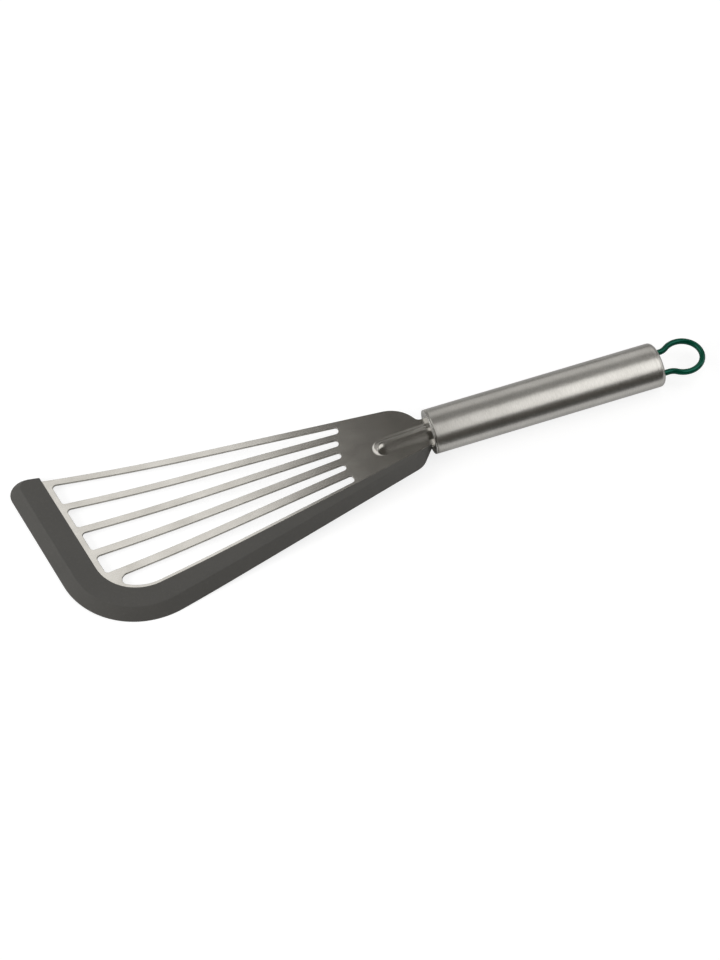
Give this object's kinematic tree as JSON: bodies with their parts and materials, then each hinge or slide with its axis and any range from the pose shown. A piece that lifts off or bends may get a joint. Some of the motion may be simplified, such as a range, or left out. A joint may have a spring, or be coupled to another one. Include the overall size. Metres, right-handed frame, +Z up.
{
  "type": "slotted turner",
  "caption": "Slotted turner with a springy fanned steel blade, a soft moulded edge along its front and right side, a hollow oval steel handle and a coated wire hanging loop.",
  "frame": {"origin": "under the middle of the bounding box, on the plane that the belly of the blade and the handle rest on", "axes": "+X along the handle from the blade to the hanging loop, +Y to the user's left when the handle points at the user, away from the soft side, +Z up from the blade's upper face"},
  "size_m": [0.3188, 0.0922, 0.0181],
  "materials": {
    "sheet_steel": "satin",
    "handle_steel": "satin",
    "wire_steel": "drawn wire",
    "silicone": "matt",
    "core_plastic": "moulded",
    "green_coating": "gloss"
  },
  "bodies": {
    "root": {"blade": "sheet_steel", "silicone_edge": "silicone", "front_cap": "handle_steel", "handle_tube": "handle_steel", "handle_core": "core_plastic", "rear_cap": "handle_steel", "loop_holder": "core_plastic", "loop_wire": "wire_steel", "loop_sleeve": "green_coating"}
  },
  "joints": []
}
